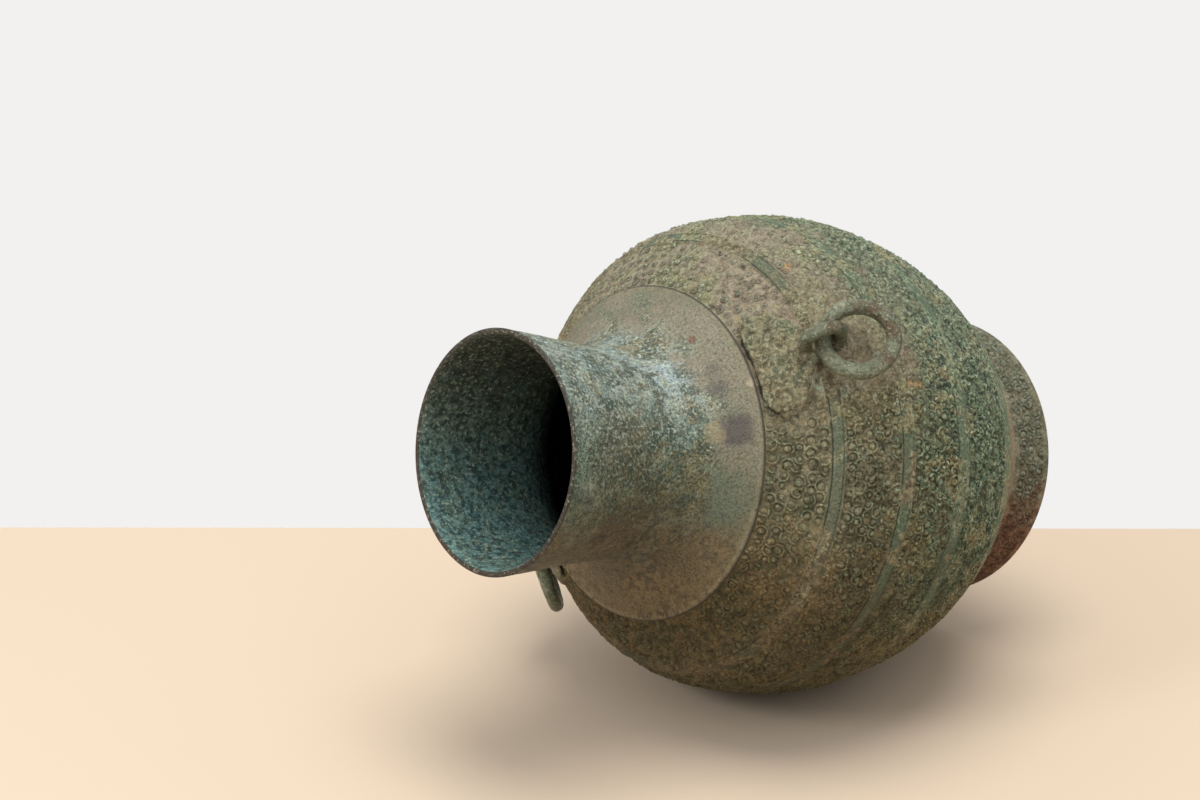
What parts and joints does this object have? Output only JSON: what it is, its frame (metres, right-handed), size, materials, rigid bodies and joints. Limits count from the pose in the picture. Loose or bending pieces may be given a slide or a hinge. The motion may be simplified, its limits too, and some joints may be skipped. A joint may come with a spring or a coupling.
{
  "type": "bronze ritual vase with ring handles",
  "caption": "Pear-shaped bronze ritual vase with a flared neck, bands of fine relief, a foot ring and mask handles that carry loose rings",
  "frame": {"origin": "centre of the foot ring's lower edge, in the plane the vase stands on", "axes": "+Z is the vase's axis, from foot to mouth; the two handles face +X and -X"},
  "size_m": [0.277, 0.2436, 0.32],
  "materials": {
    "body_bronze": "cast bronze with a mottled grey-green and brown patina",
    "foot_bronze": "cast bronze, green patina with reddish-brown patches",
    "mask_bronze": "cast bronze, grey-brown patina with worn edges",
    "ring_bronze": "cast bronze, grey-green patina, worn smooth"
  },
  "bodies": {
    "vase": {"vessel": "body_bronze", "foot_ring": "foot_bronze", "mask_right": "mask_bronze", "mask_left": "mask_bronze"},
    "ring_a": {"ring_right": "ring_bronze"},
    "ring_b": {"ring_left": "ring_bronze"}
  },
  "joints": [
    {"name": "ring_right_swing", "type": "hinge", "parent": "vase", "child": "ring_a", "pos_m": [0.11313, 0, 0.20475], "axis": [-0.2558, -0.9135, 0.3163], "range_deg": [-19, 176]},
    {"name": "ring_left_swing", "type": "hinge", "parent": "vase", "child": "ring_b", "pos_m": [-0.11313, 0, 0.20475], "axis": [-0.2558, 0.9135, -0.3163], "range_deg": [-19, 176]}
  ]
}
